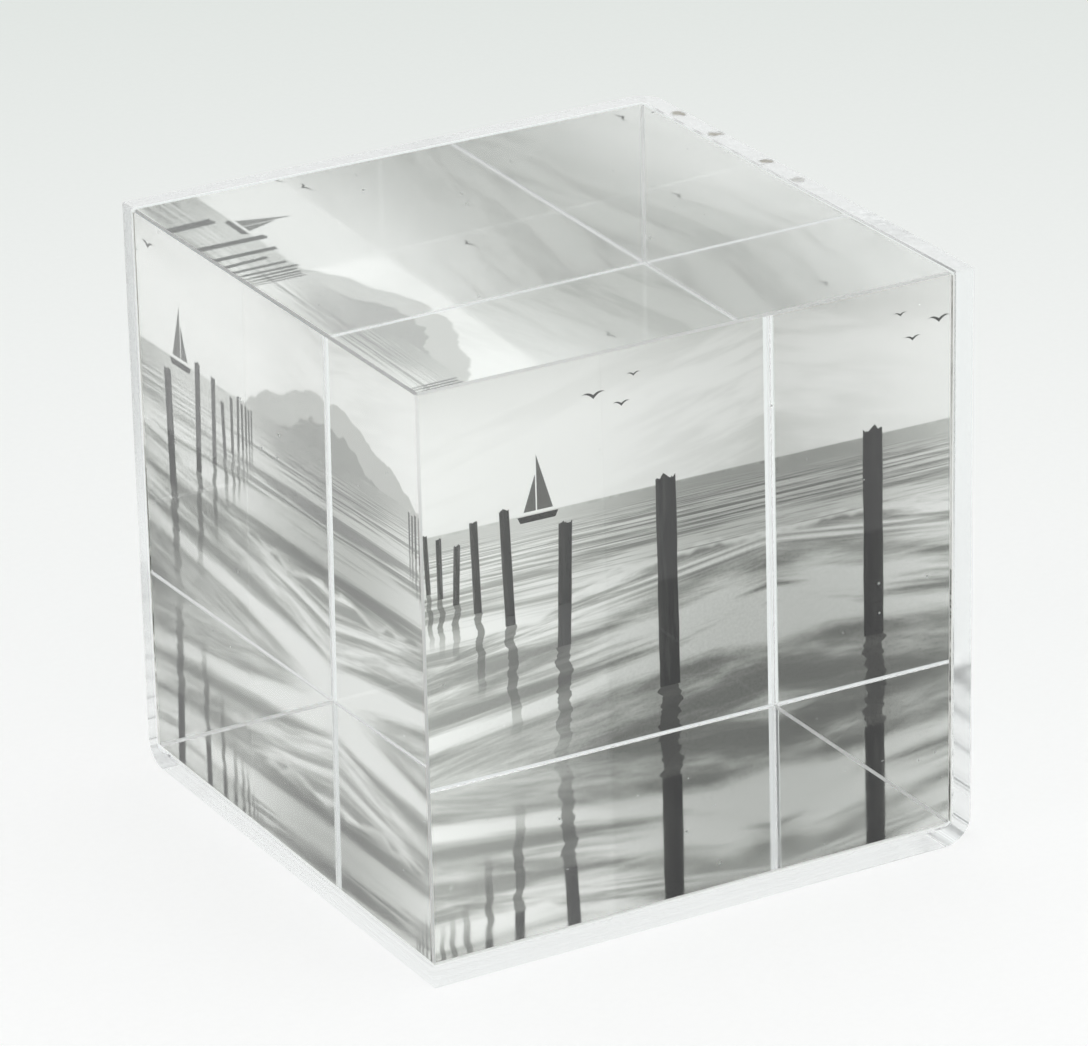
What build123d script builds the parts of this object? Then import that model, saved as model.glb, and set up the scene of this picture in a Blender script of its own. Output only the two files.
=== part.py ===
from build123d import *
import os
from math import sqrt

# Acrylic block frame. A solid clear block stands in a clear moulded tray that closes three of
# its sides, and a photo print is slipped between block and tray on each closed side.
#
# Millimetres, +Z up. The origin is under the middle of the whole object, on the surface that it
# stands on. The three bare faces of the block look to -X, -Y and +Z. The tray has its floor
# below, its back wall at +Y and its side wall at +X.

# Block
block_side = 76.2
block_bevel = 0.3

# Photo prints, cut a little smaller than the block
print_thickness = 0.2
print_trim = 0.8

# Free play on each face of a print, so that it slides in and out by hand
slip = 0.05

# Tray moulding, an even wall all the way round its inner and outer corners
wall = 3.0
inner_radius = 0.8
rim_break = 0.2

# The base print lies this much short of the curve at the foot of the two walls
base_play = 0.15

# How far the cutting solid of the tray runs past the open sides
cut_overrun = 2.0

# What follows from the sizes above
slot = print_thickness + 2 * slip
print_side = block_side - print_trim
outer_radius = inner_radius + wall
overall = block_side + slot + wall
bare = -overall / 2
outer = overall / 2
inner = outer - wall
block_foot = wall + slot

# A print held upright against a wall is carried by the curve between that wall and the floor.
# This is the height of the curve at the print's back face, with one more slip of air.
curve_rise = inner_radius - sqrt(inner_radius**2 - (inner_radius - slip) ** 2)
print_foot = curve_rise + slip

# The places where the prints lie
back_face = inner - slip - print_thickness
upright_z = wall + print_foot
base_far_edge = inner - print_foot - base_play
base_near_edge = base_far_edge - print_side


# Solid block, sawn from thick cast sheet, polished, with a narrow bevel on every edge
with BuildPart() as solid_block:
    with BuildSketch(Plane((bare, bare, block_foot))):
        Rectangle(block_side, block_side, align=(Align.MIN, Align.MIN))
    extrude(amount=block_side)
    chamfer(solid_block.edges(), block_bevel)
solid_block.part.label = "solid_block"


# Corner tray: one moulding with three walls. The three outer edges between the walls are
# rounded, and meet in a ball corner. The inner edges follow at one wall thickness.
with BuildPart() as corner_tray:
    with BuildSketch(Plane.XY):
        Rectangle(overall, overall)
    extrude(amount=overall)
    closed_corner = (outer, outer, 0)
    fillet(corner_tray.edges().sort_by_distance(closed_corner)[:3], outer_radius)

    # the space for the block and the prints, open to -X, -Y and the top
    pocket_start = bare - cut_overrun
    with BuildSketch(Plane((pocket_start, pocket_start, wall))):
        Rectangle(inner - pocket_start, inner - pocket_start, align=(Align.MIN, Align.MIN))
    extrude(amount=overall - wall + cut_overrun, mode=Mode.SUBTRACT)
    inner_corner = (inner, inner, wall)
    fillet(corner_tray.edges().sort_by_distance(inner_corner)[:3], inner_radius)

    # the three flat end faces, one on each bare side, have their edges broken
    rims = [
        corner_tray.faces().sort_by(Axis.X)[0],
        corner_tray.faces().sort_by(Axis.Y)[0],
        corner_tray.faces().sort_by(Axis.Z)[-1],
    ]
    chamfer([edge for rim in rims for edge in rim.edges()], rim_break)
corner_tray.part.label = "corner_tray"


# Back print, upright against the back wall, its free edge level with the bare side
with BuildPart() as back_print:
    with BuildSketch(Plane((bare, back_face, upright_z))):
        Rectangle(print_side, print_thickness, align=(Align.MIN, Align.MIN))
    extrude(amount=print_side)
back_print.part.label = "back_print"


# Side print, upright against the side wall, its free edge level with the bare front
with BuildPart() as side_print:
    with BuildSketch(Plane((back_face, bare, upright_z))):
        Rectangle(print_thickness, print_side, align=(Align.MIN, Align.MIN))
    extrude(amount=print_side)
side_print.part.label = "side_print"


# Base print, flat on the floor of the tray under the block
with BuildPart() as base_print:
    with BuildSketch(Plane((base_near_edge, base_near_edge, wall + slip))):
        Rectangle(print_side, print_side, align=(Align.MIN, Align.MIN))
    extrude(amount=print_thickness)
base_print.part.label = "base_print"


os.makedirs("parts", exist_ok=True)
export_step(solid_block.part, "parts/solid_block.step")
export_step(corner_tray.part, "parts/corner_tray.step")
export_step(back_print.part, "parts/back_print.step")
export_step(side_print.part, "parts/side_print.step")
export_step(base_print.part, "parts/base_print.step")

for piece in (solid_block, corner_tray, back_print, side_print, base_print):
    size = piece.part.bounding_box().size
    print(f"{piece.part.label}: {size.X:.2f} x {size.Y:.2f} x {size.Z:.2f} mm, {piece.part.volume:.1f} mm3")
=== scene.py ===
# %% [markdown]
# # A clear acrylic block frame
#
# The object is a heavy solid cube of clear acrylic. It stands in a thin clear corner tray, and a photo
# print is slipped behind each of the three sides that the tray closes. The solids come from the CAD
# file, so this lesson is about what Blender adds: clear plastic that bends and mirrors light as the
# real one does, a picture drawn by shader nodes alone, and a white table to stand on.

# %% Load the model
import math

import bmesh
import bpy
from mathutils import Matrix, Vector


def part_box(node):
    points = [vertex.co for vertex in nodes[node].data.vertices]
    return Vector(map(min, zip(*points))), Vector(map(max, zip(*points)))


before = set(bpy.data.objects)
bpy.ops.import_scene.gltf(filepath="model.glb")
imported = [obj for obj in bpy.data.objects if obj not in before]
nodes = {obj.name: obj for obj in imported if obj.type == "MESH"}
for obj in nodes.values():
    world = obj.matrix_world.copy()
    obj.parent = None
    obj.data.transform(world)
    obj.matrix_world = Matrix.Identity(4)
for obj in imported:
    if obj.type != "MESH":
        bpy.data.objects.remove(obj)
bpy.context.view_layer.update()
MM = 0.001
print("pieces:", ", ".join(sorted(nodes)))

# %% [markdown]
# ## Helpers
#
# Shader colours are linear, while a colour picked from a screen is sRGB, so one function turns a hex
# code into what the nodes expect. A second function adds a node, sets its fields and fills its inputs
# in order, or by name where only some are wanted. A value may be a number, a socket or a node.
#
# The node used most is Map Range. After its value come the two ends of the range that it reads, and then
# the two ends of the range that it writes, which are 0 and 1 where they are left out. Noise lies round
# 0.5, so half is taken off it wherever it has to push both ways.

# %% Colours and nodes


def rgba(code):
    """An sRGB hex colour as the linear colour that shaders work in."""
    channels = [int(code[i : i + 2], 16) / 255 for i in (1, 3, 5)]
    linear = [c / 12.92 if c <= 0.04045 else ((c + 0.055) / 1.055) ** 2.4 for c in channels]
    return (*linear, 1.0)


def add(tree, kind, *values, named=None, **settings):
    """Adds a shader node: settings are its fields, values fill its inputs in order, named by name."""
    node = tree.nodes.new("ShaderNode" + kind)
    for field, value in settings.items():
        setattr(node, field, value)
    ready = [socket for socket in node.inputs if socket.enabled]
    wanted = list(zip(ready, values))
    wanted += [(next(s for s in ready if s.name == name), value) for name, value in (named or {}).items()]
    for socket, value in wanted:
        if isinstance(value, bpy.types.Node):
            value = next(s for s in value.outputs if s.enabled)
        if isinstance(value, bpy.types.NodeSocket):
            tree.links.new(value, socket)
        else:
            socket.default_value = value
    return node


def new_material(name):
    """An empty node material and its tree."""
    material = bpy.data.materials.new(name)
    material.use_nodes = True
    material.node_tree.nodes.clear()
    return material, material.node_tree


def fill_ramp(ramp_node, stops):
    """Gives a Color Ramp node its stops, each a position and a hex colour, in order."""
    ramp = ramp_node.color_ramp.elements
    ramp[0].color = rgba(stops[0][1])
    ramp[1].color = rgba(stops[-1][1])
    for position, code in stops[1:-1]:
        ramp.new(position).color = rgba(code)


def dress(node, material):
    """Gives a CAD node its material."""
    nodes[node].material_slots[0].material = material
    print(f"{node}: {material.name}, {len(material.node_tree.nodes)} nodes")


print("helpers ready, and #808080 is", round(rgba("#808080")[0], 3), "in linear light")

# %% [markdown]
# ## Camera
#
# A product photograph like this one is taken from a distance with a long lens, which keeps the cube's
# edges almost parallel. The camera stands in front and to the left, and looks down by some 23 degrees.
# Its place was solved from the corners of the block and from the lines where its mirror images meet.

# %% The camera
camera_place = Vector((-0.36839, -0.65841, 0.35847))
camera_turn = math.radians(29.197)
camera_drop = math.radians(22.912)
camera_roll = math.radians(-1.269)
focal_pixels = 6324.5
photo_width = 1088

camera_data = bpy.data.cameras.new("camera")
camera_data.sensor_fit = "HORIZONTAL"
camera_data.lens = focal_pixels / photo_width * camera_data.sensor_width
camera_data.clip_start = 0.05
camera_data.clip_end = 50
camera = bpy.data.objects.new("camera", camera_data)
turn = Matrix.Rotation(-camera_turn, 4, "Z")
tip = Matrix.Rotation(math.pi / 2 - camera_drop, 4, "X")
roll = Matrix.Rotation(camera_roll, 4, "Z")
camera.matrix_world = Matrix.Translation(camera_place) @ turn @ tip @ roll
bpy.context.scene.collection.objects.link(camera)
bpy.context.scene.camera = camera
print(f"camera: {camera_data.lens:.0f} mm lens, {camera_place.length:.2f} m away")

# %% [markdown]
# ## Clear acrylic
#
# Acrylic is as clear as window glass and bends light nearly as much: its index of refraction is about
# 1.5. That number alone makes this object. Light that meets a face from inside at a flat angle can't
# leave and is mirrored, so each picture repeats to the side and below, with a bright seam between.
# The Principled shader does all this with Transmission at 1 and a smooth surface.
#
# The flat faces are polished, but the narrow bevels between them are only sanded, so they scatter light
# and show as pale lines from inside the block. Roughness gives the scattering, and Sheen the fine white
# bloom that sanded plastic has from outside. A face normal points along one axis and a bevel normal
# along two or three, so the largest part of the normal tells them apart.

# %% The block: cast acrylic, polished faces, sanded bevels
acrylic_ior = 1.50
sanded_roughness = 0.45
sanded_bloom = 0.7
speck_spacing = 6.0 * MM
speck_size = 0.22 * MM
speck_core = 0.6  # the share of a speck's reach that is fully rough
speck_roughness = 0.7
slant_part, flat_part = 0.80, 0.95  # the largest part of a normal: below the first it is on a bevel


def bevel_mask(tree, place):
    """1 on a bevel, 0 on a flat face, from the three parts of the normal."""
    parts = add(tree, "SeparateXYZ", add(tree, "VectorMath", place.outputs["Normal"], operation="ABSOLUTE"))
    largest = add(tree, "Math", parts.outputs["X"], parts.outputs["Y"], operation="MAXIMUM")
    largest = add(tree, "Math", largest, parts.outputs["Z"], operation="MAXIMUM")
    return add(tree, "MapRange", largest, slant_part, flat_part, 1.0, 0.0)


def speck_mask(tree, place, spacing, size):
    """1 inside a few tiny round specks, the lint and dust that clings to polished acrylic."""
    cells = add(tree, "TexVoronoi", place.outputs["Object"], 1 / spacing)
    reach = size / spacing
    return add(tree, "MapRange", cells.outputs["Distance"], speck_core * reach, reach, 1.0, 0.0)


cast_acrylic, tree = new_material("cast_acrylic_polished")
place = add(tree, "TexCoord")
bevels = bevel_mask(tree, place)
sanded = add(tree, "Math", bevels, sanded_roughness, operation="MULTIPLY")
specks = speck_mask(tree, place, speck_spacing, speck_size)
dusty = add(tree, "Math", specks, speck_roughness, operation="MULTIPLY")
rough = add(tree, "Math", sanded, dusty, operation="MAXIMUM")
print(f"block: bevels of roughness {sanded_roughness}, a speck every {speck_spacing / MM:.0f} mm")

# %% [markdown]
# The top face is the one that hands touch. It has a thin, uneven haze of finger marks, too faint to see
# by itself, but it softens what lies deep inside. Noise about a centimetre across varies its roughness.

# %% The haze on the top face, and the block's shader
smear_size = 12.0 * MM
smear_noise = {"Scale": 1 / smear_size, "Detail": 3.0}
smear_levels = (0.35, 0.65)  # the noise's usual lowest and highest
haze_roughness = (0.02, 0.06)

upward = add(tree, "SeparateXYZ", place.outputs["Normal"]).outputs["Z"]
on_top = add(tree, "Math", upward, flat_part, operation="GREATER_THAN")
smears = add(tree, "TexNoise", place.outputs["Object"], named=smear_noise)
haze = add(tree, "MapRange", smears, *smear_levels, *haze_roughness)
haze = add(tree, "Math", haze, on_top, operation="MULTIPLY")
shader = add(
    tree,
    "BsdfPrincipled",
    named={
        "Base Color": rgba("#FDFEFE"),
        "Roughness": add(tree, "Math", rough, haze, operation="MAXIMUM"),
        "IOR": acrylic_ior,
        "Transmission Weight": 1.0,
        "Sheen Weight": add(tree, "Math", bevels, sanded_bloom, operation="MULTIPLY"),
        "Sheen Roughness": 1.0,
    },
)
add(tree, "OutputMaterial", shader)
dress("solid_block", cast_acrylic)

# %% [markdown]
# The tray is moulded in one piece from the same plastic. A mould never leaves a wall as flat as a
# polished block: the skin keeps a faint ripple from the way the melt flowed and shrank. A Bump node with
# a soft Noise texture gives that ripple, a few thousandths of a millimetre deep. The skin is also a
# little less glossy than a polish. Light that runs along inside a thin wall meets it dozens of times, so
# even this slight roughness turns what would be hard dark dashes at the rims into soft grey ones. The
# rims on top were broken by hand and kept small lumps and a white bloom along the far edges.

# %% The tray: moulded acrylic with a faint flow ripple
ripple_length = 7.0 * MM
ripple_depth = 0.004 * MM
mould_gloss = 0.06
lump_length = 4.0 * MM
lump_depth = 0.30 * MM
rim_drop = 1.0 * MM  # how far below the block's top the rims' zone reaches
upward_part = 0.9  # faces whose normal has more than this in it look up

moulded_acrylic, tree = new_material("moulded_acrylic")
place = add(tree, "TexCoord")
spot = add(tree, "SeparateXYZ", place.outputs["Object"])
upward = add(tree, "SeparateXYZ", place.outputs["Normal"]).outputs["Z"]
upward = add(tree, "Math", upward, upward_part, operation="GREATER_THAN")
block_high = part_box("solid_block")[1]
on_rim = add(tree, "Math", spot.outputs["Z"], block_high[2] - rim_drop, operation="GREATER_THAN")
on_rim = add(tree, "Math", on_rim, upward, operation="MULTIPLY")

flow_noise = {"Scale": 1 / ripple_length, "Detail": 1.0}
lump_noise = {"Scale": 1 / lump_length, "Detail": 2.0}
flow = add(tree, "TexNoise", place.outputs["Object"], named=flow_noise)
lumps = add(tree, "TexNoise", place.outputs["Object"], named=lump_noise)
lumps = add(tree, "Math", lumps, lump_depth / ripple_depth, operation="MULTIPLY")
skin = add(tree, "Math", lumps, on_rim, flow, operation="MULTIPLY_ADD")
ripple = add(tree, "Bump", named={"Distance": ripple_depth, "Height": skin})
print(f"tray: ripples {ripple_depth / MM} mm deep, lumps on the rims {lump_depth / MM} mm")

# %% [markdown]
# The side wall's rim has a row of small brown marks, one every centimetre or so from the closed corner to
# the middle. Cells of a one-dimensional Voronoi texture along the wall give each mark its place, the
# cell's random colour moves it a little across the rim, and noise makes its outline uneven.

# %% Marks along the side wall's rim
mark_step = 10.0 * MM
mark_shift = 3.0 * MM
mark_scatter = 0.4  # 0 spaces the marks evenly, 1 at random
mark_reach, mark_core = 1.3 * MM, 0.4  # a mark's half length, and the share of it that is full
mark_wobble = 2.2 * MM
first_mark, corner_gap = -8.0 * MM, 5.0 * MM  # from the middle, and from the closed corner
fade_in = 10.0 * MM
rim_margin = 1.0 * MM

tray_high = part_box("corner_tray")[1]
rim_inner, rim_outer = block_high[0] + rim_margin, tray_high[0] - rim_margin
cell_place = add(tree, "Math", spot.outputs["Y"], mark_shift)
cell_place = add(tree, "Math", cell_place, mark_step, operation="DIVIDE")
cell_fields = {"W": cell_place, "Scale": 1.0, "Randomness": mark_scatter}
cells = add(tree, "TexVoronoi", named=cell_fields, voronoi_dimensions="1D")
off_along = add(tree, "Math", cells.outputs["Distance"], mark_step, operation="MULTIPLY")
mark_line = add(tree, "MapRange", cells.outputs["Color"], 0.0, 1.0, rim_inner, rim_outer)
off_across = add(tree, "Math", spot.outputs["X"], mark_line, operation="SUBTRACT")
off_mark = add(tree, "VectorMath", add(tree, "CombineXYZ", off_along, off_across), operation="LENGTH")
wobble_noise = {"Scale": 1 / mark_reach, "Detail": 2.0}
wobble = add(tree, "TexNoise", place.outputs["Object"], named=wobble_noise)
wobble = add(tree, "Math", wobble, 0.5, operation="SUBTRACT")
off_mark = add(tree, "Math", wobble, mark_wobble, off_mark.outputs["Value"], operation="MULTIPLY_ADD")
marks = add(tree, "MapRange", off_mark, mark_core * mark_reach, mark_reach, 1.0, 0.0)
towards_back = add(tree, "MapRange", spot.outputs["Y"], first_mark, first_mark + fade_in)
off_corner = add(tree, "Math", spot.outputs["Y"], tray_high[1] - corner_gap, operation="LESS_THAN")
marks = add(tree, "Math", marks, towards_back, operation="MULTIPLY")
marks = add(tree, "Math", marks, off_corner, operation="MULTIPLY")
marks = add(tree, "Math", marks, on_rim, operation="MULTIPLY")
print(f"marks: one every {mark_step / MM:.0f} mm along the side wall's rim")

# %% [markdown]
# Everything meets in the Principled shader. A mark tints the plastic brown and takes its gloss away, and
# the rims get the bloom of sanded plastic, as the block's bevels do.

# %% The tray's shader
mark_colours = {"A": rgba("#FBFDFD"), "B": rgba("#5E5644")}  # clear plastic, mark
mark_roughness = 0.4
rim_bloom = 0.35

shader = add(
    tree,
    "BsdfPrincipled",
    named={
        "Base Color": add(tree, "Mix", marks, named=mark_colours, data_type="RGBA"),
        "Roughness": add(tree, "MapRange", marks, 0.0, 1.0, mould_gloss, mark_roughness),
        "IOR": acrylic_ior,
        "Normal": ripple,
        "Transmission Weight": 1.0,
        "Sheen Weight": add(tree, "Math", on_rim, rim_bloom, operation="MULTIPLY"),
        "Sheen Roughness": 1.0,
    },
)
add(tree, "OutputMaterial", shader)
dress("corner_tray", moulded_acrylic)

# %% [markdown]
# ## The picture
#
# All three prints carry the same square black and white photograph: a calm shore in mist, with old
# posts that run out into the water, hills, a sailing boat and gulls. It could be painted as an image
# file, but nodes keep it sharp at any size and need no file. It is one node group that takes a point
# on the page, 0 to 1 across and up, and gives its grey tone. Each cell below adds one layer.

# %% Open the picture's node group
horizon = 0.47
soft = {"interpolation_type": "SMOOTHSTEP"}
along_line = {"noise_dimensions": "1D"}
over_page = {"noise_dimensions": "2D"}

shore = bpy.data.node_groups.new("shore_picture", "ShaderNodeTree")
shore.interface.new_socket("Vector", in_out="INPUT", socket_type="NodeSocketVector")
shore.interface.new_socket("Color", in_out="OUTPUT", socket_type="NodeSocketColor")
point = shore.nodes.new("NodeGroupInput").outputs[0]
axes = add(shore, "SeparateXYZ", point)
across, up = axes.outputs["X"], axes.outputs["Y"]
under_horizon = add(shore, "Math", horizon, up, operation="SUBTRACT")
off_middle = add(shore, "Math", across, 0.5, operation="SUBTRACT")
print("picture: horizon at", horizon, "of the page's height")

# %% [markdown]
# The sky is brightest round a glow low in the middle, which is a spherical Gradient texture stretched to
# an oval. Thin clouds are long streaks that climb gently to the right: a Mapping node of the Texture
# type turns a Noise texture by that angle and squeezes its height, which draws its blobs out. They fade
# out in the glow, and the sky greys towards the top.

# %% The sky with its glow and clouds
streak_lean = math.radians(12)
streak_squeeze = 0.17
streak_noise = {"Scale": 2.4, "Detail": 6.0, "Roughness": 0.62, "Distortion": 0.12}
cloud_levels = (0.42, 0.66)  # the noise where a cloud begins, and where it is thickest
glow_centre = (0.48, 0.56, 0)
glow_reach = (0.80, 0.66, 1)
glow_full = 0.8  # the gradient from which the glow is at its brightest
cloud_depth_away, cloud_depth_in_glow = 0.17, 0.03
sky_tone_away, sky_tone_in_glow = 0.86, 1.0
greying_heights, top_of_sky_tone = (0.60, 0.86), 0.84

streak_turn, streak_size = (0, 0, streak_lean), (1, streak_squeeze, 1)
streak_map = add(shore, "Mapping", point, (0, 0, 0), streak_turn, streak_size, vector_type="TEXTURE")
streaks = add(shore, "TexNoise", streak_map, named=streak_noise, **over_page)
cloud = add(shore, "MapRange", streaks, *cloud_levels, **soft)

glow_map = add(shore, "Mapping", point, glow_centre, (0, 0, 0), glow_reach, vector_type="TEXTURE")
glow = add(shore, "TexGradient", glow_map, gradient_type="SPHERICAL").outputs["Fac"]
glow = add(shore, "MapRange", glow, 0.0, glow_full, **soft)

cloud_depth = add(shore, "Mix", glow, cloud_depth_away, cloud_depth_in_glow)
cloud_shade = add(shore, "Math", cloud, cloud_depth, operation="MULTIPLY")
clear_sky = add(shore, "Mix", glow, sky_tone_away, sky_tone_in_glow)
sky = add(shore, "Math", clear_sky, cloud_shade, operation="SUBTRACT")
greying = add(shore, "MapRange", up, *greying_heights, 1.0, top_of_sky_tone, **soft)
sky = add(shore, "Math", sky, greying, operation="MULTIPLY")
print("with the sky:", len(shore.nodes), "nodes")

# %% [markdown]
# A hill line is one-dimensional: for each place across the page it is a height. A slope that falls to
# the right plus some 1D noise gives it, and all that lies under the line takes the hill's tone. Two
# lines, the nearer one darker and rougher, give depth.

# %% Two lines of hills
hill_lines = (  # reach to the right, rise, bumps per page, height of the bumps, shift of the noise, tone
    (0.46, 0.10, 7.0, 0.09, 0.0, 0.70),
    (0.27, 0.06, 13.0, 0.05, 3.0, 0.54),
)
hill_foot = horizon - 0.03
hill_edge = (-0.002, 0.003)

backdrop = sky
for reach, rise, bumps, bump_height, shift, hill_tone in hill_lines:
    slope = add(shore, "MapRange", across, 0.0, reach, horizon + rise, hill_foot, **soft)
    hill_noise = {"W": add(shore, "Math", across, shift), "Scale": bumps, "Detail": 5.0}
    lumps = add(shore, "TexNoise", named=hill_noise, **along_line)
    line = add(shore, "Math", lumps, bump_height, slope, operation="MULTIPLY_ADD")
    line = add(shore, "Math", line, bump_height / 2, operation="SUBTRACT")
    under_line = add(shore, "Math", line, up, operation="SUBTRACT")
    covered = add(shore, "MapRange", under_line, *hill_edge)
    backdrop = add(shore, "Mix", covered, backdrop, hill_tone)
print("hill lines:", len(hill_lines))

# %% [markdown]
# Waves shrink towards the horizon. The ground under a level view is a plane, so its distance is one
# over how far a point lies below the horizon. Noise read at that distance gives waves that crowd
# together as they go away, as real ones do. Under the glow the water is bright, and grey at the sides.

# %% The sea
eye_height = 0.10
nearest_below = 0.005  # closer to the horizon than this, waves are too fine to draw
wave_squeeze = (0.9, 5.0, 1)
swell_noise = {"Scale": 1.7, "Detail": 5.0, "Roughness": 0.66, "Distortion": 0.3}
calm_depth, calm_share = 0.07, 0.12  # how far below the horizon the swell is full, its share on it
half_swell = 0.11
glitter_middle, glitter_core, glitter_edge = glow_centre[0] - 0.01, 0.02, 0.45
water_tones_away = (0.37, 0.71)  # trough, crest
water_tones_in_glow = (0.62, 0.98)

below = add(shore, "Math", under_horizon, nearest_below, operation="MAXIMUM")
distance = add(shore, "Math", eye_height, below, operation="DIVIDE")
sideways = add(shore, "Math", off_middle, distance, operation="MULTIPLY")
wave_place = add(shore, "CombineXYZ", sideways, distance)
wave_map = add(shore, "Mapping", wave_place, named={"Scale": wave_squeeze})
swell = add(shore, "TexNoise", wave_map, named=swell_noise, **over_page)
swell = add(shore, "Math", swell, 0.5, operation="SUBTRACT")
calm = add(shore, "MapRange", below, nearest_below, calm_depth, calm_share, 1.0, **soft)
swell = add(shore, "Math", swell, calm, operation="MULTIPLY")
crests = add(shore, "MapRange", swell, -half_swell, half_swell, **soft)
off_glow = add(shore, "Math", across, glitter_middle, operation="SUBTRACT")
off_glow = add(shore, "Math", off_glow, operation="ABSOLUTE")
glitter = add(shore, "MapRange", off_glow, glitter_core, glitter_edge, 1.0, 0.0, **soft)
trough_tone = add(shore, "Mix", glitter, water_tones_away[0], water_tones_in_glow[0])
crest_tone = add(shore, "Mix", glitter, water_tones_away[1], water_tones_in_glow[1])
sea = add(shore, "Mix", crests, trough_tone, crest_tone)
print("with the sea:", len(shore.nodes), "nodes")

# %% [markdown]
# The beach takes the lower part of the page, and its edge wanders like a hill line. The sand is in the
# light on the left and darkens to the lower right, where it lies in its own shade.

# %% Where the beach is, and where it lies in shade
beach_heights = (0.19, 0.34)  # at the page's left and right edge
edge_shift, edge_wander = 6.0, 0.16
edge_noise = {"Scale": 3.2, "Detail": 4.0}
shade_slant = -0.9
shade_reach = (0.15, 0.80)

beach_rise = add(shore, "MapRange", across, 0.0, 1.0, *beach_heights, **soft)
shifted = add(shore, "Math", across, edge_shift)
wander = add(shore, "TexNoise", shifted, named=edge_noise, **along_line)
wander = add(shore, "Math", wander, 0.5, operation="SUBTRACT")
beach_edge = add(shore, "Math", wander, edge_wander, beach_rise, operation="MULTIPLY_ADD")
ashore = add(shore, "Math", beach_edge, up, operation="SUBTRACT")
shade = add(shore, "Math", up, shade_slant, across, operation="MULTIPLY_ADD")
shade = add(shore, "MapRange", shade, *shade_reach, **soft)
print("beach: rises from", beach_heights[0], "to", beach_heights[1], "of the page's height")

# %% [markdown]
# Wet sand lies in long low ridges that mirror the sky in streaks. They are noise in perspective too, read
# on a plane that slopes up a little to the right. Fine noise stands for the grit.

# %% The wet sand
sand_horizon, sand_slope = horizon + 0.02, 0.13
nearest_sand = 0.04
ridge_shift, ridge_squeeze = (3, 0, 0), (4.5, 20.0, 1)
ridge_noise = {"Scale": 1.0, "Detail": 7.0, "Roughness": 0.56, "Lacunarity": 2.2, "Distortion": 0.3}
ridge_levels = (0.38, 0.60)
hollow_tones = (0.55, 0.40)  # in the light, in the shade
ridge_tones = (1.0, 0.82)
grit_noise = {"Scale": 170.0, "Detail": 1.0}
grit_depths = (0.03, 0.09)

sand_below = add(shore, "Math", across, sand_slope, sand_horizon, operation="MULTIPLY_ADD")
sand_below = add(shore, "Math", sand_below, up, operation="SUBTRACT")
sand_below = add(shore, "Math", sand_below, nearest_sand, operation="MAXIMUM")
sand_distance = add(shore, "Math", eye_height, sand_below, operation="DIVIDE")
sand_sideways = add(shore, "Math", off_middle, sand_distance, operation="MULTIPLY")
sand_place = add(shore, "CombineXYZ", sand_sideways, sand_distance)
sand_fields = {"Location": ridge_shift, "Scale": ridge_squeeze}
sand_map = add(shore, "Mapping", sand_place, named=sand_fields)
ridges = add(shore, "TexNoise", sand_map, named=ridge_noise, **over_page)
ridges = add(shore, "MapRange", ridges, *ridge_levels, **soft)
hollow_tone = add(shore, "Mix", shade, *hollow_tones)
ridge_tone = add(shore, "Mix", shade, *ridge_tones)
wet_sand = add(shore, "Mix", ridges, hollow_tone, ridge_tone)
grit = add(shore, "TexNoise", point, named=grit_noise, **over_page)
grit = add(shore, "Math", grit, 0.5, operation="SUBTRACT")
grit_depth = add(shore, "Mix", shade, *grit_depths)
wet_sand = add(shore, "Math", grit, grit_depth, wet_sand, operation="MULTIPLY_ADD")
print("with the sand:", len(shore.nodes), "nodes")

# %% [markdown]
# Sea, sand and sky meet in narrow soft steps, because a hard step would show as stairs. Where the swell
# is high, the last wave leaves a thin rim of foam on the sand.

# %% Sea, sand and sky together, with the foam
water_edge = (-0.006, 0.006)
horizon_edge = (-0.0015, 0.0015)
foam_place, foam_width, foam_share, foam_tone = 0.004, 0.010, 0.40, 0.98
foam_swell = (-0.08, 0.05)

on_sand = add(shore, "MapRange", ashore, *water_edge)
ground = add(shore, "Mix", on_sand, sea, wet_sand)
off_edge = add(shore, "Math", ashore, foam_place)
off_edge = add(shore, "Math", off_edge, operation="ABSOLUTE")
foam = add(shore, "MapRange", off_edge, 0.0, foam_width, foam_share, 0.0, **soft)
foaming = add(shore, "MapRange", swell, *foam_swell)
foam = add(shore, "Math", foam, foaming, operation="MULTIPLY")
ground = add(shore, "Mix", foam, ground, foam_tone)
on_ground = add(shore, "MapRange", under_horizon, *horizon_edge)
tone = add(shore, "Mix", on_ground, backdrop, ground)
print("shore and sky:", len(shore.nodes), "nodes")

# %% [markdown]
# The posts stand in a row that runs away from the viewer. In perspective, equal steps along such a row
# shrink as 1 / (1 + n * step), so the formula turned round gives the number n of the nearest post for
# any place across the page, and one drawing in that post's own units serves the whole row.

# %% A row of posts: which post, how large, how high
near_foot = Vector((0.80, 0.085))
far_foot = Vector((0.17, horizon - 0.012))
post_step = 0.50
farthest_share = 0.17
shortest_post, tallest_post = 0.33, 0.45

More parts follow.
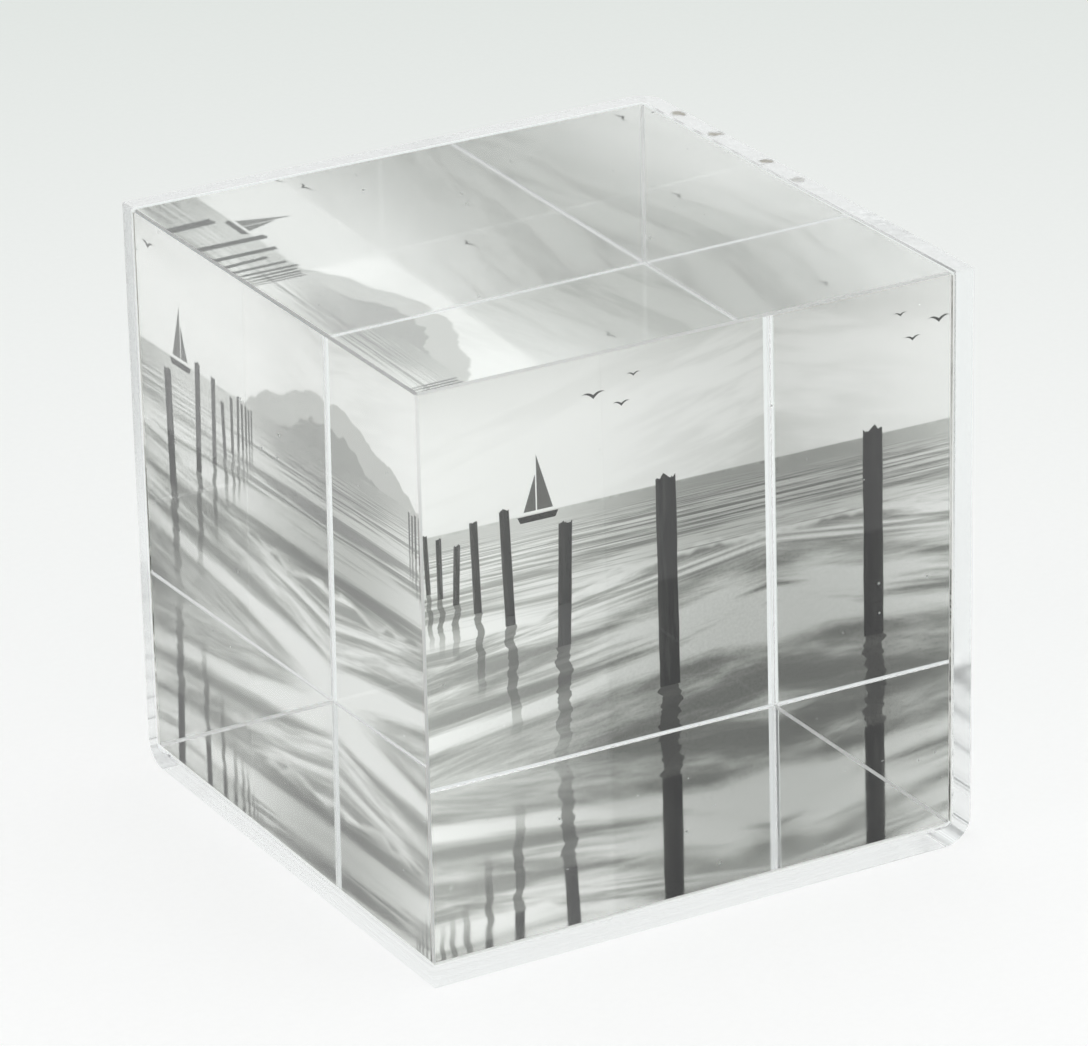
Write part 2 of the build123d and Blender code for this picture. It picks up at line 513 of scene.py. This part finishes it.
row_share = add(shore, "MapRange", across, far_foot.x, near_foot.x, 0.0, 1.0, clamp=False)
row_share = add(shore, "Math", row_share, farthest_share, operation="MAXIMUM")
steps = add(shore, "Math", 1.0, row_share, operation="DIVIDE")
steps = add(shore, "Math", steps, 1.0, operation="SUBTRACT")
number = add(shore, "Math", steps, post_step, operation="DIVIDE")
number = add(shore, "Math", number, operation="ROUND")
number = add(shore, "Math", number, 0.0, operation="MAXIMUM")
size = add(shore, "Math", number, post_step, 1.0, operation="MULTIPLY_ADD")
size = add(shore, "Math", 1.0, size, operation="DIVIDE")
foot_x = add(shore, "Mix", size, far_foot.x, near_foot.x)
foot_y = add(shore, "Mix", size, far_foot.y, near_foot.y)
aside = add(shore, "Math", across, foot_x, operation="SUBTRACT")
aside = add(shore, "Math", aside, size, operation="DIVIDE")
above = add(shore, "Math", up, foot_y, operation="SUBTRACT")
above = add(shore, "Math", above, size, operation="DIVIDE")
chance = add(shore, "TexWhiteNoise", number, **along_line).outputs["Value"]
height = add(shore, "Mix", chance, shortest_post, tallest_post)
print("posts: up to", 1 + round((1 / farthest_share - 1) / post_step), "in the row")

# %% [markdown]
# No old post is straight, so each leans by its own amount, and in its reflection a ripple pushes it
# from side to side. Weathered wood has long grain, which is noise stretched along the post; the same
# noise roughens its sides and its worn top. Posts far away fade into the haze.

# %% Lean and sway
lean_left, lean_right = -0.05, 0.04
ripple_squeeze = (9.0, 42.0, 1)
ripple_noise = {"Scale": 1.0, "Detail": 2.0}
ripple_sway = 0.04

mirrored = add(shore, "Math", above, 0.0, operation="LESS_THAN")
upright = add(shore, "Math", 1.0, mirrored, operation="SUBTRACT")
lean = add(shore, "Math", above, add(shore, "Mix", chance, lean_left, lean_right), operation="MULTIPLY")
ripple_map = add(shore, "Mapping", point, named={"Scale": ripple_squeeze})
ripples = add(shore, "TexNoise", ripple_map, named=ripple_noise, **over_page)
ripples = add(shore, "Math", ripples, 0.5, operation="SUBTRACT")
sway = add(shore, "Math", ripples, ripple_sway, operation="MULTIPLY")
sway = add(shore, "Math", sway, mirrored, lean, operation="MULTIPLY_ADD")
aside = add(shore, "Math", aside, sway)
print("posts: lean between", lean_left, "and", lean_right, "of their height")

# %% The posts' outline
post_half_width = 0.021
grain_across, grain_along = 55.0, 6.0
wood_noise = {"Scale": 1.0, "Detail": 4.0, "Roughness": 0.6, "Distortion": 0.3}
side_knots, crown_knots = 0.005, 0.03
edge_blur = 0.0014
reflection_fade, reflection_share = 0.22, 0.70

wood_x = add(shore, "Math", aside, grain_across, operation="MULTIPLY")
wood_y = add(shore, "Math", above, grain_along, number, operation="MULTIPLY_ADD")
wood_place = add(shore, "CombineXYZ", wood_x, wood_y)
wood = add(shore, "TexNoise", wood_place, named=wood_noise, **over_page)
knots = add(shore, "Math", wood, 0.5, operation="SUBTRACT")
half_width = add(shore, "Math", knots, side_knots, post_half_width, operation="MULTIPLY_ADD")
blur = add(shore, "Math", edge_blur, size, operation="DIVIDE")
off_axis = add(shore, "Math", aside, operation="ABSOLUTE")
inside = add(shore, "Math", half_width, off_axis, operation="SUBTRACT")
body = add(shore, "MapRange", inside, 0.0, blur)

crown = add(shore, "Math", knots, crown_knots, height, operation="MULTIPLY_ADD")
standing = add(shore, "Math", crown, above, operation="SUBTRACT")
standing = add(shore, "MapRange", standing, 0.0, blur)
standing = add(shore, "Math", standing, upright, operation="MULTIPLY")
depth_left = add(shore, "Math", height, above)
fading = add(shore, "MapRange", depth_left, 0.0, reflection_fade, 0.0, reflection_share)
fading = add(shore, "Math", fading, mirrored, operation="MULTIPLY")
print("with the posts' outline:", len(shore.nodes), "nodes")

# %% The posts' tones
haze_sizes, haze_far = (0.12, 0.8), 0.26
lit_side_tone = 0.16
grain_levels, grain_tone = (0.45, 0.72), 0.14
reflection_tone = 0.14

haze = add(shore, "MapRange", size, *haze_sizes, haze_far, 0.0)
lit_side = add(shore, "MapRange", aside, -post_half_width, -post_half_width / 2, lit_side_tone, 0.0)
grain = add(shore, "MapRange", wood, *grain_levels, 0.0, grain_tone)
post_tone = add(shore, "Math", lit_side, grain)
post_tone = add(shore, "Math", haze, post_tone)
mirror_tone = add(shore, "Math", haze, reflection_tone)
shown = add(shore, "Math", body, fading, operation="MULTIPLY")
tone = add(shore, "Mix", shown, tone, mirror_tone)
shown = add(shore, "Math", body, standing, operation="MULTIPLY")
tone = add(shore, "Mix", shown, tone, post_tone)
print("with the posts:", len(shore.nodes), "nodes")

# %% [markdown]
# Small shapes are drawn in their own units: a Mapping node of the Texture type moves the page's point
# into the shape's frame, and comparisons cut the outline. The hull is a low strip with raked ends, each
# sail a triangle beside the mast, and a gull two bent wings.

# %% The sailing boat
boat_place = (0.545, horizon - 0.014, 0)
boat_size = (0.046, 0.046, 1)
hull_half_length, hull_rake, hull_half_height = 0.75, 0.5, 0.13
main_luff = -0.02
leech_foot, leech_slope = 0.78, -0.30
jib_leech = -0.08
luff_foot, luff_slope = -0.756, 0.36
boom_height = 0.42
hull_tone, sail_tone = 0.10, 0.34

boat_map = add(shore, "Mapping", point, boat_place, (0, 0, 0), boat_size, vector_type="TEXTURE")
boat_axes = add(shore, "SeparateXYZ", boat_map)
boat_x, boat_y = boat_axes.outputs["X"], boat_axes.outputs["Y"]
hull_reach = add(shore, "Math", boat_y, hull_rake, hull_half_length, operation="MULTIPLY_ADD")
hull = add(shore, "Math", boat_x, operation="ABSOLUTE")
hull = add(shore, "Math", hull, hull_reach, operation="LESS_THAN")
hull_height = add(shore, "Math", boat_y, hull_half_height, hull_half_height, operation="COMPARE")
hull = add(shore, "Math", hull, hull_height, operation="MULTIPLY")

leech = add(shore, "Math", boat_y, leech_slope, leech_foot, operation="MULTIPLY_ADD")
right_of_mast = add(shore, "Math", boat_x, main_luff, operation="GREATER_THAN")
main_sail = add(shore, "Math", boat_x, leech, operation="LESS_THAN")
main_sail = add(shore, "Math", main_sail, right_of_mast, operation="MULTIPLY")
luff = add(shore, "Math", boat_y, luff_slope, luff_foot, operation="MULTIPLY_ADD")
left_of_mast = add(shore, "Math", boat_x, jib_leech, operation="LESS_THAN")
jib = add(shore, "Math", boat_x, luff, operation="GREATER_THAN")
jib = add(shore, "Math", jib, left_of_mast, operation="MULTIPLY")
over_boom = add(shore, "Math", boat_y, boom_height, operation="GREATER_THAN")
sails = add(shore, "Math", main_sail, jib)
sails = add(shore, "Math", sails, over_boom, operation="MULTIPLY")
tone = add(shore, "Mix", hull, tone, hull_tone)
tone = add(shore, "Mix", sails, tone, sail_tone)
print("with the boat:", len(shore.nodes), "nodes")

# %% The gulls
gulls = (  # across, up, half the span
    (0.66, 0.66, 0.026),
    (0.715, 0.635, 0.019),
    (0.74, 0.685, 0.015),
    (0.25, 0.78, 0.022),
)
wing_rise, wing_bend = 0.95, -0.75
wing_root = 0.16
wing_blur = 0.05
gull_tone = 0.18

for gull_x, gull_y, span in gulls:
    gull_place, gull_size = (gull_x, gull_y, 0), (span, span, 1)
    gull_map = add(shore, "Mapping", point, gull_place, (0, 0, 0), gull_size, vector_type="TEXTURE")
    gull_axes = add(shore, "SeparateXYZ", gull_map)
    outward = add(shore, "Math", gull_axes.outputs["X"], operation="ABSOLUTE")
    droop = add(shore, "Math", outward, wing_bend, wing_rise, operation="MULTIPLY_ADD")
    wing = add(shore, "Math", outward, droop, operation="MULTIPLY")
    off_wing = add(shore, "Math", gull_axes.outputs["Y"], wing, operation="SUBTRACT")
    off_wing = add(shore, "Math", off_wing, operation="ABSOLUTE")
    thickness = add(shore, "Math", outward, -wing_root, wing_root, operation="MULTIPLY_ADD")
    bird = add(shore, "Math", thickness, off_wing, operation="SUBTRACT")
    bird = add(shore, "MapRange", bird, 0.0, wing_blur)
    tone = add(shore, "Mix", bird, tone, gull_tone)
print("gulls:", len(gulls))

# %% [markdown]
# So far the picture is one number. A Color Ramp turns it into the greys of a black and white print,
# which are never quite neutral: these lean a little to warm, with a black that isn't fully dense.

# %% The greys of the print
print_tones = (  # the picture's tone, the grey that it prints as
    (0.0, "#0B0B0A"),
    (0.25, "#454542"),
    (0.5, "#8E8F8A"),
    (0.75, "#CECFCA"),
    (1.0, "#FDFDFA"),
)

toning = add(shore, "ValToRGB", tone)
fill_ramp(toning, print_tones)
shore.links.new(toning.outputs["Color"], shore.nodes.new("NodeGroupOutput").inputs[0])
print("picture:", len(shore.nodes), "nodes")

# %% [markdown]
# ## Photo paper
#
# A print is a sheet of coated paper, 0.2 mm thick and trimmed to 75.4 mm. The picture lies on the side
# that faces into the block. The other side and the cut edges are white paper, a little clouded by the
# clumps of its fibres. The lustre coating has a fine pebbled skin, so it glosses softly instead of
# mirroring. The pebbles are drawn at half a millimetre, coarser than real ones, so that they can show.

# %% A print for each closed side
page_side = 75.4 * MM
pebble_size = 0.5 * MM
pebble_levels, pebble_roughness = (0.3, 0.7), (0.38, 0.52)
coating_ior, coating_specular = 1.5, 0.08
fibre_clump = 0.8 * MM
fibre_levels = (0.35, 0.65)
paper_whites = {"A": rgba("#ECEEEB"), "B": rgba("#F6F7F4")}


def page_point(tree, place, node, right, top):
    """The point on a print's page, 0 to 1 to the right and to the top."""
    low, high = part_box(node)
    turned = Matrix((right, top, right.cross(top)))
    corner = Vector([low[i] if right[i] + top[i] >= 0 else high[i] for i in range(3)])
    start = -(turned @ corner) / page_side
    return add(tree, "Mapping", place.outputs["Object"], start, turned.to_euler(), (1 / page_side,) * 3)


def photo_print(node, right, top):
    """Dresses a print: the picture on the face that looks into the block, white paper elsewhere."""
    right, top = Vector(right), Vector(top)
    material, tree = new_material("lustre_photo_paper_" + node.split("_")[0])
    place = add(tree, "TexCoord")
    picture = tree.nodes.new("ShaderNodeGroup")
    picture.node_tree = shore
    tree.links.new(page_point(tree, place, node, right, top).outputs[0], picture.inputs[0])
    facing = add(tree, "VectorMath", place.outputs["Normal"], right.cross(top), operation="DOT_PRODUCT")
    printed = add(tree, "Math", facing.outputs["Value"], 0.5, operation="GREATER_THAN")
    pebble_noise = {"Scale": 1 / pebble_size, "Detail": 0.0}
    pebbles = add(tree, "TexNoise", place.outputs["Object"], named=pebble_noise)
    fibre_noise = {"Scale": 1 / fibre_clump, "Detail": 4.0}
    clumps = add(tree, "TexNoise", place.outputs["Object"], named=fibre_noise)
    clumps = add(tree, "MapRange", clumps, *fibre_levels)
    paper = add(tree, "Mix", clumps, named=paper_whites, data_type="RGBA")
    sides = {"A": paper, "B": picture.outputs[0]}
    shader = add(
        tree,
        "BsdfPrincipled",
        named={
            "Base Color": add(tree, "Mix", printed, named=sides, data_type="RGBA"),
            "Roughness": add(tree, "MapRange", pebbles, *pebble_levels, *pebble_roughness),
            "IOR": coating_ior,
            "Specular IOR Level": coating_specular,
        },
    )
    add(tree, "OutputMaterial", shader)
    dress(node, material)


photo_print("back_print", (1, 0, 0), (0, 0, 1))
photo_print("side_print", (0, -1, 0), (0, 0, 1))
photo_print("base_print", (0, -1, 0), (1, 0, 0))

# %% [markdown]
# ## White table and studio light
#
# The frame stands on seamless white card. Card is matt, but clear plastic shows it many times over, and
# the card in the frame's own shadow would grey every rim. In a studio the card is lit from all round,
# so the card glows a little for the camera and for rays through the plastic, and only the rest
# of its brightness comes from the lamps: enough for a faint shadow. Its colour darkens softly with
# distance. That is painted shade, which stands for the studio light fading away behind the frame.

# %% The table
card_glow = 0.6
card_reach = 8.0
card_depths = (-0.08, 0.36)  # metres behind the middle, between which the card darkens
# The card's colour from near to far, darker behind: painted shade for the light fading with distance.
card_painted_fade = ((0.0, "#FFFFFF"), (0.2, "#FDFDFD"), (1.0, "#E4E8E5"))
card_noise = {"Scale": 900.0, "Detail": 2.0}
card_levels, card_shades = (0.3, 0.7), (0.99, 1.0)
view_line = Vector((math.sin(camera_turn), math.cos(camera_turn), 0.0))

card_mesh = bpy.data.meshes.new("white_card")
shape = bmesh.new()
bmesh.ops.create_grid(shape, x_segments=1, y_segments=1, size=card_reach)
shape.to_mesh(card_mesh)
shape.free()
card = bpy.data.objects.new("white_card", card_mesh)
bpy.context.scene.collection.objects.link(card)
print(f"card: {2 * card_reach:.0f} m square")

# %% The card's material
white_card, tree = new_material("matt_white_card")
place = add(tree, "TexCoord")
depth = add(tree, "VectorMath", place.outputs["Object"], view_line, operation="DOT_PRODUCT")
depth = add(tree, "MapRange", depth.outputs["Value"], *card_depths)
# The colour grows darker with depth behind the frame. This is painted shade, not a tint of the card.
painted_fade = add(tree, "ValToRGB", depth)
fill_ramp(painted_fade, card_painted_fade)
fibres = add(tree, "TexNoise", place.outputs["Object"], named=card_noise)
fibre_shade = add(tree, "MapRange", fibres, *card_levels, *card_shades)
# The card's fibres times its painted shade: real texture and painted fading of the light together.
fibres_and_painted_fade = add(tree, "VectorMath", painted_fade, fibre_shade, operation="MULTIPLY")
paint = add(tree, "BsdfDiffuse", fibres_and_painted_fade)
light = add(tree, "Emission", fibres_and_painted_fade, 1.0)
path = add(tree, "LightPath")
seen = add(tree, "Math", path.outputs["Is Camera Ray"], path.outputs["Is Glossy Ray"], operation="MAXIMUM")
seen = add(tree, "Math", seen, path.outputs["Is Transmission Ray"], operation="MAXIMUM")
glow_share = add(tree, "Math", seen, card_glow, operation="MULTIPLY")
add(tree, "OutputMaterial", add(tree, "MixShader", glow_share, paint, light))
card_mesh.materials.append(white_card)
print(f"card: {card_glow:.0%} glow, the rest is lit")

# %% [markdown]
# Light comes from a white tent all round, as product photographers use for clear things. Overhead it
# is even. Low down it is brighter in front and to the right, dim where the camera stands and darkest
# behind on the left, and the polished faces pick these up: they are what makes the blacks of the
# prints deep in one place and milky in the next. The world shader paints the tent, because the
# direction of a ray chooses how bright it is there.

# %% The light tent
tent_overhead = 1.10
tent_low = {"back left": 0.22, "front left": 0.34, "back right": 0.76, "front right": 0.90}
blend_sideways, blend_lengthways, blend_upwards = (-0.30, 0.30), (0.45, -0.45), (0.50, 0.70)

world = bpy.data.worlds.new("light_tent")
world.use_nodes = True
tree = world.node_tree
tree.nodes.clear()
ray = add(tree, "SeparateXYZ", add(tree, "TexCoord").outputs["Generated"])
rightward = add(tree, "MapRange", ray.outputs["X"], *blend_sideways, **soft)
frontward = add(tree, "MapRange", ray.outputs["Y"], *blend_lengthways, **soft)
overhead = add(tree, "MapRange", ray.outputs["Z"], *blend_upwards, **soft)
left_side = add(tree, "Mix", frontward, tent_low["back left"], tent_low["front left"])
right_side = add(tree, "Mix", frontward, tent_low["back right"], tent_low["front right"])
low_light = add(tree, "Mix", rightward, left_side, right_side)
brightness = add(tree, "Mix", overhead, low_light, tent_overhead)
tent = add(tree, "Background", rgba("#FCFEFD"), brightness)
add(tree, "OutputWorld", tent)
bpy.context.scene.world = world
print("tent: low down", tent_low, "overhead", tent_overhead)

# %% [markdown]
# Two softboxes add to the tent. The one in front on the right mirrors on the top face as the pale band
# along the left edge. The other stands square to the left face and mirrors nowhere in this view, but it
# lights the print behind that face. A lamp's power in watts says little by itself: what the eye and a
# mirror see is its radiance, the power over pi and over its area, so the power is worked out from that.

# %% The softboxes
softboxes = (  # name, direction it stands in, distance and side in metres, radiance
    ("softbox_front_right", Vector((0.45, -0.80, 0.39)), 1.3, 0.55, 0.72),
    ("softbox_left", Vector((-0.95, 0.04, 0.30)), 1.2, 0.90, 1.20),
)
for name, direction, reach, side, radiance in softboxes:
    lamp = bpy.data.lights.new(name, "AREA")
    lamp.shape = "SQUARE"
    lamp.size = side
    lamp.energy = radiance * math.pi * side**2
    softbox = bpy.data.objects.new(name, lamp)
    softbox.location = direction.normalized() * reach
    softbox.rotation_euler = direction.to_track_quat("Z", "Y").to_euler()
    bpy.context.scene.collection.objects.link(softbox)
    print(f"{name}: {lamp.energy:.2f} W")

# %% [markdown]
# A ray may be mirrored many times inside the block before it leaves, and each time counts as a bounce.
# Blender's usual limits would cut such a ray short and turn it black, so they are raised. Filter Glossy
# blurs mirrors and glass for light that has met a matt surface, to save noise. Here that would close
# the clear block to most of the light that should reach the prints, so it is switched off.

# %% Ray depth and colour view
scene = bpy.context.scene
scene.view_settings.view_transform = "Standard"
mirror_bounces = 32
scene.cycles.max_bounces = mirror_bounces
scene.cycles.glossy_bounces = mirror_bounces
scene.cycles.transmission_bounces = mirror_bounces
scene.cycles.diffuse_bounces = 4
scene.cycles.blur_glossy = 0.0
print("bounces:", mirror_bounces)
